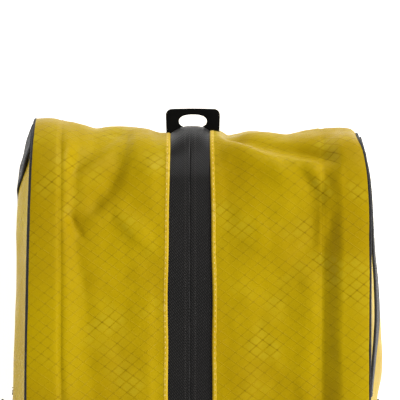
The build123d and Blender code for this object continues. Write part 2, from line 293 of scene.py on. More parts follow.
def skin_depth(x, s, side, end):
    """Depth of the fabric below the bag's outline, over the top and down an end."""
    across = np.abs(x)
    lip = np.maximum(across - hem_x(s), 0)
    over, under = over_end(s), under_base(s)
    down = np.clip((s - S_SEAM) / (S_BASE - S_SEAM), 0, 1)
    face = end_depth(end * x) + 1.2 * smooth(0, 0.3, down)
    filled = 0.85 * smooth(0.2, 0.85, down) * (1 - smooth(88, 102, across))
    face = face + (LOWER_END - face) * filled
    depth = top_depth(across, s, side) * (1 - over) + face * over
    depth = depth * (1 - under) + 0.5 * under
    y = plan_y(s) - 8.0 * np.sin(np.clip((s - STRAIGHT) / CORNER_R, 0, math.pi / 2))
    free = smooth(1.0, 12.0, lip) * (1 - 0.8 * smooth(CREST_X[side] - 7, CREST_X[side] + 2, across))
    fading = 1 - smooth(S_SEAM - 26, S_SEAM, s)
    raised = np.zeros_like(depth)
    for points, height, left, right in FOLDS:
        raised += fold_height(end * x, y, points, height, left, right)
    raised = raised * fading
    seed = 20 if end > 0 else 40
    raised += 0.45 * ripple(x, s, 55, seed, 1.8) + 0.20 * ripple(x, s, 21, seed + 5, 1.5)
    raised += 0.09 * ripple(x, s, 9, seed + 9, 1.3)
    calm = smooth(0, 60, s)
    return depth - raised * free * (0.35 + 0.65 * calm)


def skin_point(x, s, side, end, extra=0.0):
    """Points on the fabric, or extra below it."""
    depth = skin_depth(x, s, side, end) + extra
    y, z = outline(s, depth, end)
    return x, y, z


# ---- making meshes ---------------------------------------------------------------------------

def add_object(name, data):
    """A new object in the scene."""
    made = bpy.data.objects.new(name, data)
    bpy.context.scene.collection.objects.link(made)
    return made


def new_piece(name, vertices, faces, material, cloth=None):
    """A piece from vertices in millimetres, with cloth coordinates in millimetres for its weave."""
    mesh = bpy.data.meshes.new(name)
    mesh.from_pydata((np.asarray(vertices) * MM).tolist(), [], faces)
    mesh.validate()
    if cloth is not None:
        layer = mesh.attributes.new("cloth", "FLOAT_VECTOR", "POINT")
        layer.data.foreach_set("vector", np.asarray(cloth, np.float32).ravel())
    mesh.polygons.foreach_set("use_smooth", [True] * len(mesh.polygons))
    mesh.materials.append(material)
    mesh.update()
    return add_object(name, mesh)


def grid_faces(rows, cols, start=0, flip=False, wrap=False):
    """Quads of a grid of vertices, row by row."""
    faces = []
    for r in range(rows - 1):
        for c in range(cols if wrap else cols - 1):
            d = (c + 1) % cols
            quad = [start + r * cols + c, start + r * cols + d,
                    start + (r + 1) * cols + d, start + (r + 1) * cols + c]
            faces.append(quad[::-1] if flip else quad)
    return faces


def loft_faces(rows, cols, start=0, flip=False):
    """The faces of a closed form made of rings: its quads and the caps of its two ends."""
    caps = [[start + c for c in range(cols)][::-1], [start + (rows - 1) * cols + c for c in range(cols)]]
    return grid_faces(rows, cols, start, flip, wrap=True) + [cap[::-1] if flip else cap for cap in caps]


def fabric(name, x, y, z, u, v, material, thickness, flip=False):
    """A sheet of fabric from arrays of points, given real thickness towards its inner side."""
    rows, cols = x.shape
    vertices = np.stack([x, y, z], axis=-1).reshape(-1, 3)
    cloth = np.stack([u, v, np.zeros_like(u)], axis=-1).reshape(-1, 3)
    piece = new_piece(name, vertices, grid_faces(rows, cols, flip=flip), material, cloth)
    thicken(piece, thickness)
    return piece


def thicken(piece, thickness):
    """Give a sheet its thickness, on the side away from its normals."""
    solid = piece.modifiers.new("thickness", "SOLIDIFY")
    solid.thickness = thickness * MM
    solid.offset = -1.0
    apply_modifiers(piece)


def apply_modifiers(piece):
    """Turn a piece's modifiers into plain mesh."""
    graph = bpy.context.evaluated_depsgraph_get()
    mesh = bpy.data.meshes.new_from_object(piece.evaluated_get(graph))
    piece.modifiers.clear()
    piece.data = mesh


def tube(name, path, radius, material, sides=10, closed=False):
    """A round cord along points, with cloth coordinates along and around it."""
    path = np.asarray(path, float)
    if closed:
        ahead, behind = np.roll(path, -1, axis=0), np.roll(path, 1, axis=0)
    else:
        ahead, behind = np.vstack([path[1:], path[-1:]]), np.vstack([path[:1], path[:-1]])
    tangent = unit(ahead - behind)
    reference = np.array([1.0, 0.0, 0.0]) if abs(tangent[:, 0]).max() < 0.9 else np.array([0.0, 0.0, 1.0])
    first = unit(np.cross(tangent, reference))
    second = np.cross(tangent, first)
    turn = np.linspace(0, 2 * math.pi, sides, endpoint=False)
    rings = path[:, None, :] + radius * (np.cos(turn)[None, :, None] * first[:, None, :]
                                         + np.sin(turn)[None, :, None] * second[:, None, :])
    count = len(path)
    cloth = np.stack([np.repeat(distances(path)[:, None], sides, 1), np.tile(turn * radius, (count, 1)),
                      np.zeros((count, sides))], axis=-1).reshape(-1, 3)
    if closed:
        last = (count - 1) * sides
        faces = grid_faces(count, sides, wrap=True)
        faces += [[last + c, last + (c + 1) % sides, (c + 1) % sides, c] for c in range(sides)]
    else:
        faces = loft_faces(count, sides)
    return new_piece(name, rings.reshape(-1, 3), faces, material, cloth)


def ribbon(name, centres, across, width, thick, material):
    """Flat webbing along centre points; across is the direction of its width at each point."""
    across = unit(across)
    normal = unit(np.cross(unit(np.gradient(centres, axis=0)), across))
    h, t = width / 2, thick / 2
    inner = np.linspace(-1, 1, 9) * (h - t)
    top = [(a, t) for a in inner]
    rounded = [(h - t + t * math.cos(q), t * math.sin(q)) for q in (math.pi / 4, 0, -math.pi / 4)]
    section = top + rounded
    section += [(-a, -b) for a, b in section]
    points = np.array([[c + a * w + b * n for a, b in section] for c, w, n in zip(centres, across, normal)])
    cloth = np.array([[(r, a, b) for a, b in section] for r in distances(centres)])
    faces = loft_faces(len(centres), len(section))
    return new_piece(name, points.reshape(-1, 3), faces, material, cloth.reshape(-1, 3))


def stitches(name, path, normals, material, length=2.3, gap=0.8, radius=0.17, rise=0.06):
    """A row of separate thread stitches along a path, lying on a surface with the given normals."""
    run = distances(path)

    def at(distance, table):
        return np.array([np.interp(distance, run, table[:, k]) for k in range(3)])

    vertices, faces, cloth = [], [], []
    place = gap
    shape = [(0.0, 0.25), (0.12, 0.8), (0.5, 1.0), (0.88, 0.8), (1.0, 0.25)]
    sides = 6
    while place + length < run[-1]:
        base = len(vertices)
        for fraction, girth in shape:
            q = place + fraction * length
            point, up = at(q, path), unit(at(q, normals))
            forward = unit(at(min(q + 0.5, run[-1]), path) - at(max(q - 0.5, 0), path))
            sideways = np.cross(forward, up)
            arch = rise * math.sin(math.pi * fraction) - 0.05 * (1 - girth)
            for k in range(sides):
                a = 2 * math.pi * k / sides
                vertices.append(point + up * (arch + radius * girth * math.sin(a))
                                + sideways * radius * girth * math.cos(a))
                cloth.append((q, a, 0.0))
        faces += loft_faces(len(shape), sides, base)
        place += length + gap
    return new_piece(name, vertices, faces, material, cloth)


def normals_of(x, y, z):
    """Unit normals of a grid of points, by differences."""
    p = np.stack([x, y, z], axis=-1)
    return unit(np.cross(np.gradient(p, axis=1), np.gradient(p, axis=0)))


# ---- materials -------------------------------------------------------------------------------

class Nodes:
    """A short way to write node maths."""

    def __init__(self, name, roughness, specular, **sockets):
        self.material = bpy.data.materials.new(name)
        self.material.use_nodes = True
        self.tree = self.material.node_tree
        self.shader = self.tree.nodes["Principled BSDF"]
        self.shader.inputs["Roughness"].default_value = roughness
        self.shader.inputs["Specular IOR Level"].default_value = specular
        for socket, value in sockets.items():
            self.shader.inputs[socket.replace("_", " ")].default_value = value

    def node(self, kind, **settings):
        made = self.tree.nodes.new(kind)
        for key, value in settings.items():
            setattr(made, key, value)
        return made

    def feed(self, socket, value):
        if isinstance(value, bpy.types.NodeSocket):
            self.tree.links.new(value, socket)
        else:
            socket.default_value = value

    def math(self, operation, a, b=0.0, c=0.0):
        made = self.node("ShaderNodeMath", operation=operation)
        for socket, value in zip(made.inputs, (a, b, c)):
            self.feed(socket, value)
        return made.outputs[0]

    def times(self, a, b, plus=None):
        return self.math("MULTIPLY", a, b) if plus is None else self.math("MULTIPLY_ADD", a, b, plus)

    def wave(self, coordinate, length):
        return self.math("SINE", self.times(coordinate, 2 * math.pi / length))

    def cloth(self):
        """The piece's cloth coordinates, as a vector and as separate numbers."""
        vector = self.node("ShaderNodeAttribute", attribute_name="cloth").outputs["Vector"]
        parts = self.node("ShaderNodeSeparateXYZ")
        self.feed(parts.inputs[0], vector)
        return vector, parts.outputs[0], parts.outputs[1]

    def place(self):
        """Object coordinates in millimetres, for pieces with no cloth coordinates."""
        vector = self.node("ShaderNodeTexCoord").outputs["Object"]
        scaled = self.node("ShaderNodeVectorMath", operation="SCALE")
        self.feed(scaled.inputs[0], vector)
        scaled.inputs["Scale"].default_value = 1 / MM
        return scaled.outputs[0]

    def noise(self, vector, size, detail=2.0):
        made = self.node("ShaderNodeTexNoise")
        self.feed(made.inputs["Vector"], vector)
        made.inputs["Scale"].default_value = 1 / size
        made.inputs["Detail"].default_value = detail
        return made.outputs["Fac"]

    def remap(self, value, low, high, to_low=0.0, to_high=1.0):
        made = self.node("ShaderNodeMapRange", interpolation_type="SMOOTHSTEP")
        for socket, number in zip(made.inputs[:5], (value, low, high, to_low, to_high)):
            self.feed(socket, number)
        return made.outputs[0]

    def mix(self, factor, first, second):
        made = self.node("ShaderNodeMix", data_type="RGBA")
        self.feed(made.inputs[0], factor)
        self.feed(made.inputs[6], first)
        self.feed(made.inputs[7], second)
        return made.outputs[2]

    def line(self, coordinate, pitch, width):
        """1 on thin lines every pitch along a coordinate."""
        part = self.math("PINGPONG", coordinate, pitch / 2)
        return self.remap(part, width * 0.35, width, 1.0, 0.0)

    def bump(self, height, distance, strength=1.0):
        made = self.node("ShaderNodeBump")
        made.inputs["Distance"].default_value = distance * MM
        made.inputs["Strength"].default_value = strength
        self.feed(made.inputs["Height"], height)
        self.tree.links.new(made.outputs[0], self.shader.inputs["Normal"])

    def colour(self, value):
        self.feed(self.shader.inputs["Base Color"], value)


def rgb(red, green, blue):
    """A linear colour from display values of 0 to 255."""
    channels = [c / 255 for c in (red, green, blue)]
    linear = [c / 12.92 if c <= 0.04045 else ((c + 0.055) / 1.055) ** 2.4 for c in channels]
    return (*linear, 1.0)


RIPSTOP_PITCH = 5.7
RIPSTOP_TURNS = (55, -48)       # directions across the two sets of ripstop threads, in degrees
RIPSTOP_LINE = 0.40             # half-width of a thread's dark line
RIPSTOP_KNOT = 0.9              # half-width of the spot where two of them cross
PLAIN_WEAVE = 0.42


def ripstop_material(name, light, base, deep, lines):
    """Coated ripstop: a slanted grid of thicker threads, squares with a painted highlight of uneven shine, a
    fine plain weave.
    """
    m = Nodes(name, 0.42, 0.08, Sheen_Weight=0.10, Sheen_Roughness=0.30)
    vector, u, v = m.cloth()
    ways = []
    for degrees in RIPSTOP_TURNS:
        turn = math.radians(degrees)
        ways.append(m.times(u, math.cos(turn), m.times(v, math.sin(turn))))
    first, second = (m.line(way, RIPSTOP_PITCH, RIPSTOP_LINE) for way in ways)
    wide_first, wide_second = (m.line(way, RIPSTOP_PITCH, RIPSTOP_KNOT) for way in ways)
    grid = m.math("MAXIMUM", first, second)
    knots = m.times(wide_first, wide_second)
    centre = m.times(m.math("SUBTRACT", 1.0, wide_first), m.math("SUBTRACT", 1.0, wide_second))
    cell = m.node("ShaderNodeCombineXYZ")
    for socket, way in zip(cell.inputs, ways):
        m.feed(socket, m.math("FLOOR", m.math("DIVIDE", way, RIPSTOP_PITCH)))
    random = m.node("ShaderNodeTexWhiteNoise", noise_dimensions="3D")
    m.feed(random.inputs["Vector"], cell.outputs[0])
    patches = m.remap(m.noise(vector, 34), 0.50, 0.66)
    marked = m.remap(m.noise(vector, 15), 0.38, 0.62, 0.05, 1.0)
    tone = m.mix(m.remap(m.noise(vector, 80), 0.36, 0.64), base, deep)
    # Painted highlight: some squares between the threads are painted towards the light colour, as shine on
    # the coating.
    painted_cell_highlight = m.times(centre, m.times(patches, m.times(random.outputs["Value"], 0.5, 0.35)))
    tone = m.mix(m.times(painted_cell_highlight, 0.60), tone, light)
    threads = m.times(m.times(knots, 0.55, m.times(grid, 0.45)), marked)
    m.colour(m.mix(m.times(threads, m.times(patches, 0.30, 0.32)), tone, lines))
    weave = m.times(m.wave(u, PLAIN_WEAVE), m.wave(v, PLAIN_WEAVE))
    puckers = m.times(m.noise(vector, 5.0), 1.6)
    m.bump(m.times(grid, 0.7, m.times(weave, 0.10, puckers)), 0.14, 0.8)
    m.feed(m.shader.inputs["Roughness"], m.remap(m.noise(vector, 30), 0.3, 0.7, 0.36, 0.50))
    return m.material


def tape_material(name):
    """Polymer-coated zipper tape with a fine diagonal emboss and two rows of coil stitches."""
    m = Nodes(name, 0.40, 0.26, Coat_Weight=0.06, Coat_Roughness=0.3)
    vector, u, v = m.cloth()
    twill = m.wave(m.times(u, 0.80, m.times(v, 0.60)), 1.25)
    cross = m.wave(m.times(u, 0.55, m.times(v, -0.83)), 1.9)
    emboss = m.times(cross, 0.55, twill)
    from_row = m.math("ABSOLUTE", m.math("SUBTRACT", m.math("ABSOLUTE", u), 3.3))
    beads = m.times(m.remap(from_row, 0.25, 0.85, 1.0, 0.0), m.remap(m.wave(v, 1.6), -0.1, 0.5))
    wear = m.remap(m.noise(vector, 26, 3.0), 0.35, 0.7)
    base = m.mix(m.times(wear, 0.5), rgb(12, 11, 10), rgb(21, 19, 18))
    # Painted highlight: the emboss's raised diagonals are painted lighter, as where they catch the light.
    base = m.mix(m.times(m.remap(emboss, 0.3, 1.3), 0.55), base, rgb(45, 41, 39))
    m.colour(m.mix(m.times(beads, 0.28), base, rgb(70, 66, 63)))
    m.bump(m.times(beads, 1.2, m.times(emboss, 0.55)), 0.13, 0.8)
    return m.material


def webbing_material(name, base, light, rib=1.5):
    """Woven webbing: ribs down its length, crossed by the weft, with the high threads painted lighter as a
    painted highlight.
    """
    m = Nodes(name, 0.62, 0.25, Sheen_Weight=0.12, Sheen_Roughness=0.5)
    vector, u, v = m.cloth()
    column = m.wave(v, rib)
    shift = m.times(m.math("SIGN", column), 0.25 * rib)
    thread = m.wave(m.math("ADD", u, shift), 0.75 * rib)
    weave = m.times(m.math("ABSOLUTE", column), m.times(thread, 0.5, 0.5))
    highlight_patchiness = m.remap(m.noise(vector, 9, 3.0), 0.3, 0.75)
    # Painted highlight: the raised threads are painted towards the light colour, more strongly in some
    # patches.
    m.colour(m.mix(m.times(weave, m.times(highlight_patchiness, 0.35, 0.35)), base, light))
    m.bump(weave, 0.30, 0.9)
    return m.material


def plain_material(name, base, light, roughness, specular, grain, depth, metallic=0.0):
    """Moulded or painted surface with a fine grain and uneven tone."""
    m = Nodes(name, roughness, specular, Metallic=metallic)
    vector = m.place()
    m.colour(m.mix(m.remap(m.noise(vector, 14, 3.0), 0.35, 0.7), base, light))
    m.bump(m.noise(vector, grain, 3.0), depth, 0.6)
    worn = m.remap(m.noise(vector, 8), 0.3, 0.7, roughness - 0.05, roughness + 0.08)
    m.feed(m.shader.inputs["Roughness"], worn)
    return m.material


def thread_material(name, base, light):
    """Twisted sewing thread."""
    m = Nodes(name, 0.5, 0.3, Sheen_Weight=0.1)
    _, u, v = m.cloth()
    twist = m.math("SINE", m.times(u, 14.0, m.times(v, 2.0)))
    # Painted highlight: the twist's raised crests are painted lighter.
    m.colour(m.mix(m.remap(twist, -0.6, 0.8), base, light))
    m.bump(twist, 0.05, 0.5)
    return m.material


YELLOW = ripstop_material("ripstop_yellow", rgb(194, 172, 30), rgb(186, 157, 0), rgb(176, 145, 0),
                          rgb(112, 90, 0))
# A brighter copy of the top's ripstop for the folded edge: a painted highlight where the rolled edge catches
# the light.
YELLOW_HEM_LIT = ripstop_material("ripstop_hem_lit", rgb(228, 198, 88), rgb(216, 182, 48), rgb(204, 168, 32),
                              rgb(160, 128, 12))
YELLOW_BASE = ripstop_material("ripstop_base", rgb(184, 162, 44), rgb(174, 148, 3), rgb(164, 136, 0),
                               rgb(112, 92, 0))
TAPE = tape_material("coated_tape")
WEBBING = webbing_material("webbing_black", rgb(20, 20, 22), rgb(62, 62, 64))
WRAP = webbing_material("wrap_fabric", rgb(20, 20, 22), rgb(54, 54, 56), rib=1.0)
PIPING = webbing_material("piping_black", rgb(22, 22, 25), rgb(58, 58, 62), rib=0.7)
THREAD = thread_material("yellow_thread", rgb(238, 204, 112), rgb(255, 234, 168))
BLACK_THREAD = thread_material("black_thread", rgb(26, 26, 28), rgb(70, 70, 72))
TAB = plain_material("stiff_tab", rgb(3, 3, 2), rgb(7, 7, 5), 0.42, 0.12, 0.8, 0.05)
METAL = plain_material("painted_metal", rgb(30, 30, 32), rgb(48, 48, 50), 0.34, 0.5, 0.5, 0.02, 0.6)
RUBBER = plain_material("grip_rubber", rgb(18, 18, 18), rgb(30, 30, 30), 0.6, 0.3, 0.6, 0.06)
COIL = plain_material("coil_plastic", rgb(24, 24, 25), rgb(40, 40, 42), 0.4, 0.4, 0.4, 0.02)
FOAM = plain_material("closed_foam", rgb(205, 204, 198), rgb(222, 221, 216), 0.8, 0.2, 1.2, 0.2)
BOARD = plain_material("base_board", rgb(44, 44, 46), rgb(58, 58, 60), 0.6, 0.3, 1.0, 0.08)


# ---- the top, its edge bands and the ends ----------------------------------------------------

LAP = {-1: -1.4, 1: 0.8}        # where the flaps' fabric ends, past their fold lines
LAP_DIP = 0.55
FINE_THICK = 0.45
# Rows of the edge band's fabric that run on under the flaps', as distances past the fold line.
BAND_UNDER = (-8.82, -6.72, -4.62, -2.52, -0.84)
HEM_ROLL = 0.9                  # how far the fabric rolls down at its folded edge
HEM_THICK = 0.35
# Across the folded edge: distance from its lip, depth below the skin.
HEM_SECTION = [(-0.35, 0.76), (-0.45, 0.29), (-0.2, -0.13), (0.2, -0.38), (0.6, -0.42), (1.05, -0.25),
               (1.45, -0.42), (1.7, -0.29), (2.0, -0.08), (2.35, 0.25)]
FOAM_DEPTHS = (1.2, 6.5)        # of the edge foam's upper and lower faces, below the skin
FACE_SPLIT = 20.0               # an end's left and right halves meet within this distance of the middle


def rows_between(low, high, step=STEP):
    """Evenly spaced distances from low to high."""
    return np.linspace(low, high, max(2, int(round((high - low) / step)) + 1))


def follow_flap(piece):
    """Bakes the transform of a piece that crosses from the opening part of the top to the fixed end."""
    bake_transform(piece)


def skin_sheet(name, across, s, side, end, below, material, thickness):
    """A sheet of fabric that lies on the bag's outer skin, or below it."""
    across, s, below = np.broadcast_arrays(across, s, below)
    x, y, z = skin_point(side * across, s, side, end, below)
    return fabric(name, x, y, z, x, end * s, material, thickness, side * end > 0)


def top_panel(side_name, side, end_name, end):
    """The top's fabric from the zipper to the fold line, over the end to the seam."""
    s = rows_between(0, S_SEAM)[:, None]
    t = np.concatenate([[0.0, 0.003, 0.01, 0.02, 0.034], np.linspace(0.05, 1.0, 60)])[None, :]
    hem, lap = hem_x(s), FOLD_X + LAP[side]
    across = hem + t * (lap - hem)
    rolled = HEM_ROLL * np.clip(1 - (across - hem) / HEM_ROLL, 0, 1) ** 2
    below = rolled + LAP_DIP * smooth(-2.6, -0.2, across - lap)
    piece = skin_sheet(f"top_panel_{side_name}_{end_name}", across, s, side, end, below, YELLOW, FINE_THICK)
    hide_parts(f"top_end_{side_name}_{end_name}", f"top_flap_{side_name}")
    follow_flap(piece)
    for part in (hem_fold(side_name, side, end_name, end), top_stitches(side_name, side, end_name, end)):
        follow_flap(part)


def hem_fold(side_name, side, end_name, end):
    """The fabric's folded edge beside the zipper, a narrow strip of double cloth in a brighter copy of the
    ripstop, a painted highlight on the rolled edge.
    """
    s = rows_between(0, S_SEAM)[:, None]
    offset, below = np.array(HEM_SECTION).T[:, None, :]
    wobble = 0.12 * ripple(s, np.zeros_like(s), 9, 80 + side) + 0.10 * np.sin(2 * math.pi * s / 3.1)
    across = hem_x(s) + offset + np.where(offset > 1.6, wobble, 0)
    return skin_sheet(f"hem_fold_{side_name}_{end_name}", across, s, side, end, below, YELLOW_HEM_LIT, HEM_THICK)


def top_stitches(side_name, side, end_name, end):
    """The topstitching along the folded edge beside the zipper."""
    s = rows_between(0, S_SEAM - 2)
    across = np.stack([hem_x(s) + offset for offset in (0.6, 1.05, 1.5)], axis=1)
    s_grid = np.broadcast_to(s[:, None], across.shape)
    x, y, z = skin_point(side * across, s_grid, side, end, -0.3)
    normal = normals_of(x, y, z)[:, 1]
    path = np.stack([x[:, 1], y[:, 1], z[:, 1]], axis=-1)
    return stitches(f"topstitch_{side_name}_{end_name}", path, normal * np.sign(normal[0, 2]), THREAD,
                    length=2.4, gap=1.1, radius=0.32, rise=0.16)


def edge_band(side_name, side, end_name, end):
    """The stiffened edge between the fold line and the piping, over the top and down the end."""
    s = rows_between(0, S_END - STRAIGHT, 1.8)[:, None]
    width = piping_x(side, s) - 0.1 - FOLD_X
    beyond = np.hstack([np.tile(BAND_UNDER, (len(s), 1)), width * np.linspace(0, 1, 36)])
    lap = LAP[side]
    below = 0.22 * (1 - smooth(lap, lap + 2, beyond)) + 1.4 * (1 - smooth(-8, lap - 2, beyond))
    piece = skin_sheet(f"edge_band_{side_name}_{end_name}", FOLD_X + beyond, s, side, end, below, YELLOW,
                       FINE_THICK)
    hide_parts("edge_band_" + side_name)
    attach(piece, "root")
    band_foam(side_name, side, end_name, end)


def band_foam(side_name, side, end_name, end):
    """The foam strip inside an edge band."""
    s = rows_between(0, S_BASE, 4.0)[:, None]
    inner, outer = CREST_X[side] + 2.5, piping_x(side, s) - 3.0
    across = inner + np.linspace(0, 1, 7)[None, :] * (outer - inner)
    s_grid = np.broadcast_to(s, across.shape)
    upper = np.stack(skin_point(side * across, s_grid, side, end, FOAM_DEPTHS[0]), axis=-1)
    lower = np.stack(skin_point(side * across[:, ::-1], s_grid, side, end, FOAM_DEPTHS[1]), axis=-1)
    points = np.hstack([upper, lower])
    faces = loft_faces(*points.shape[:2], flip=side * end > 0)
    piece = new_piece(f"edge_foam_{side_name}_{end_name}", points.reshape(-1, 3), faces, FOAM)
    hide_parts("edge_foam_" + side_name)
    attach(piece, "root")


def end_face_point(x, s, end):
    """Points on an end below the zipper, where the left and right halves are one panel."""
    apart = np.maximum(np.abs(x), FACE_SPLIT)
    left, right = skin_depth(-apart, s, -1, end), skin_depth(apart, s, 1, end)
    share = smooth(-FACE_SPLIT - 2, FACE_SPLIT + 2, x)
    depth = left * (1 - share) + right * share
    y, z = outline(s, depth + 0.5 * ripple(x, s, 60, 61 + end) * smooth(0, 20, s - S_SEAM), end)
    return x, y, z


def end_panel(end_name, end):
    """The fabric of an end below the zipper's seam, down to the base's corner."""
    s = rows_between(S_SEAM - 1.5, S_BASE, 2.0)[:, None]
    x = np.linspace(-FOLD_X + 1.5, FOLD_X - 1.5, 121)[None, :]
    x, s_grid = np.broadcast_arrays(x, s)
    x, y, z = end_face_point(x, s_grid, end)
    tuck = 1.5 * (1 - smooth(0, 7, s_grid - S_SEAM + 1.5))
    piece = fabric(f"end_panel_{end_name}_cover", x, y - end * tuck, z, x, end * s_grid, YELLOW, FABRIC_THICK,
                   end > 0)
    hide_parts("end_panel_" + end_name)
    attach(piece, "root")


def base_panel():
    """The base, turned up at both ends to meet the end panels and edge bands."""
    half = rows_between(S_BASE, S_END, 3.0)
    rows = []
    for end, s_list in ((1, half), (-1, half[::-1][1:])):
        for s in s_list:
            left, right = (piping_x(side, s) - 0.4 for side in (-1, 1))
            x = np.concatenate([np.linspace(-left, -FACE_SPLIT, 34),
                                np.linspace(3 - FACE_SPLIT, FACE_SPLIT - 3, 9),
                                np.linspace(FACE_SPLIT, right, 34)])
            x, y, z = end_face_point(x, np.full_like(x, s), end)
            sunk = 0.7 * (1 - smooth(0, 12, s - S_BASE))
            rows.append((x, y - end * sunk, z))
    x, y, z = (np.array([row[k] for row in rows]) for k in range(3))
    middle = x.shape[1] // 2
    run = distances(np.stack([y[:, middle], z[:, middle]], axis=-1))
    v = np.broadcast_to(run[:, None], x.shape)
    piece = fabric("base_panel_cover", x, y, z, x, v, YELLOW_BASE, BASE_THICK, flip=True)
    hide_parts("base_panel")
    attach(piece, "root")


# ---- the zipper ------------------------------------------------------------------------------

HUMP_DEPTH = 5.9        # of the tape's middle where it runs over an end
TAPE_CROWN = (3.2, 2.0)     # how square the tape's section is on the right and left halves
SLIT = 0.45             # half-width and depth of the join between the halves
COIL_PITCH = 1.6
COIL_TURN_POINTS = 8
COIL_MIDDLE, COIL_WIDE = (1.75, 2.0), (1.55, 0.85)      # of a coil's turns: (across, below the tape)
COIL_R = 0.36


def tape_point(x, s, side, end):
    """Points on the zipper's tape, which crowns where it runs over an end."""
    hem = hem_x(s)
    turn = (s - STRAIGHT) / CORNER_R
    over = smooth(0.1, 1.2, turn)
    middle = TAPE_DEPTH * (1 - over) + HUMP_DEPTH * over
    edge = skin_depth(side * (hem + 0.4), s, side, end) + 1.2
    edge = np.where(over > 0, np.maximum(edge, middle), edge)
    across = np.clip(np.abs(x) / hem, 0, 1.35)
    depth = middle + (edge - middle) * across ** np.where(end * x > 0, *TAPE_CROWN)
    depth = np.maximum(depth, TAPE_DEPTH * (1 - over) + HUMP_DEPTH * over)
    slit = SLIT * np.clip(1 - (np.abs(x) - 0.12) / SLIT, 0, 1) ** 2
    y, z = outline(s, depth + slit, end)
    return x, y, z


def zip_tape(side_name, side, end_name, end):
    """One half of the tape from the middle of the bag to the end seam."""
    s = rows_between(0, S_SEAM)[:, None]
    across = np.concatenate([[0.12, 0.3, 0.6], np.linspace(1.0, TAPE_HIDDEN, 24)])[None, :]
    s_grid, across = np.broadcast_arrays(s, across)
    x, y, z = tape_point(side * across, s_grid, side, end)
    piece = fabric(f"zip_tape_{side_name}_{end_name}", x, y, z, x, end * s_grid, TAPE, TAPE_THICK,
                   side * end > 0)
    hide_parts(f"zip_tape_{side_name}", f"zip_end_{end_name}")
    follow_flap(piece)


def zip_coil(side_name, side, end_name, end):
    """The coil on the back of one tape half: a flattened helix with one turn for each tooth."""
    turns = int((S_SEAM - 8) / COIL_PITCH)
    angle = np.arange(turns * COIL_TURN_POINTS) * 2 * math.pi / COIL_TURN_POINTS
    s = (angle / (2 * math.pi) + (0.5 if side < 0 else 0)) * COIL_PITCH
    across = COIL_MIDDLE[0] + COIL_WIDE[0] * np.cos(angle)
    below = COIL_MIDDLE[1] + COIL_WIDE[1] * np.sin(angle)
    x, y, z = tape_point(side * across, s, side, end)
    turn = np.clip((s - STRAIGHT) / CORNER_R, 0, math.pi / 2)
    path = np.stack([x, y - end * below * np.sin(turn), z - below * np.cos(turn)], axis=-1)
    piece = tube(f"zip_coil_{side_name}_{end_name}", path, COIL_R, COIL, sides=5)
    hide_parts(f"zip_coil_{side_name}", f"coil_end_{end_name}")
    follow_flap(piece)


# ---- side panels and piping ------------------------------------------------------------------

def side_surface(side, y, z, edge_gap):
    """Distance from the middle plane of a side panel's outer face; edge_gap is the way to its seam."""
    along = np.abs(y)
    end_way = HALF_LENGTH - along
    full = smooth(*FULLNESS[side], end_way)
    reach_low, reach_high = BULGE_REACH[side]
    most = follow(BULGE[side], along) * full
    swell = most * smooth(reach_low, reach_high, edge_gap) ** 0.8
    seam = follow(PIPING_PATH[side], along) - 0.2
    rumple = 0.9 * ripple(y, z, 95, 70 + side, 0.7) + 0.40 * ripple(y, z, 36, 75 + side)
    rumple += 0.12 * ripple(y, z, 14, 79 + side)
    bulge = np.minimum(swell + rumple * smooth(6, 70, edge_gap), most + 0.4)
    if side < 0:
        level, wide, press = GROOVE_LEFT
        under_strap = smooth(66, 82, along) * (1 - smooth(205, 222, along))
        bulge = bulge - press * np.exp(-(((z - level) / wide) ** 4)) * under_strap
    return seam + bulge


def perimeter(side, step, extra=0.0):
    """Points on a side's seam all the way round the bag, with their distance along it."""
    half = rows_between(0, S_END, step)
    back = half[::-1][1:-1]
    front = outline(half, piping_depth(side, half, 1) + extra, 1)
    rear = outline(back, piping_depth(side, back, -1) + extra, -1)
    y = np.concatenate([front[0], rear[0]])
    z = np.concatenate([front[1], rear[1]])
    return y, z, np.concatenate([half, back])


def side_panel(side_name, side):
    """A side panel of fabric that swells out past its piping."""
    y_edge, z_edge, s_edge = perimeter(side, 3.0, 0.6)
    spine = HALF_LENGTH - HEIGHT / 2
    spine_y = np.clip(y_edge, -spine, spine)
    rho = np.concatenate([np.linspace(0, 0.7, 26), np.linspace(0.72, 1.0, 26)])[:, None]
    y = spine_y + rho * (y_edge - spine_y)
    z = HEIGHT / 2 + rho * (z_edge - HEIGHT / 2)
    edge_gap = (1 - rho) * np.hypot(y_edge - spine_y, z_edge - HEIGHT / 2)
    x = side_surface(side, y, z, edge_gap)
    seam = piping_x(side, s_edge)[None, :] - 0.2
    x = x + (seam - x) * (1 - smooth(0, 8, edge_gap))
    rows, cols = y.shape
    vertices = np.stack([side * x, y, z], axis=-1).reshape(-1, 3)
    cloth = np.stack([y, z, np.zeros_like(y)], axis=-1).reshape(-1, 3)
    piece = new_piece(f"side_panel_{side_name}_cover", vertices,
                      grid_faces(rows, cols, wrap=True, flip=side > 0), YELLOW, cloth)
    weld(piece)
    thicken(piece, FABRIC_THICK)
    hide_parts("side_panel_" + side_name)
    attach(piece, "root")


def weld(piece):
    """Join vertices that coincide."""
    modifier = piece.modifiers.new("weld", "WELD")
    modifier.merge_threshold = 0.05 * MM
    apply_modifiers(piece)


def piping(side_name, side):
    """The piping all round a side panel."""
    y, z, s = perimeter(side, 2.5)
    path = np.stack([side * (piping_x(side, s) + 0.1), y, z], axis=-1)
    piece = tube(f"piping_{side_name}_cord", path, PIPING_R, PIPING, closed=True)
    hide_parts("piping_" + side_name)
    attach(piece, "root")


# ---- webbing ---------------------------------------------------------------------------------

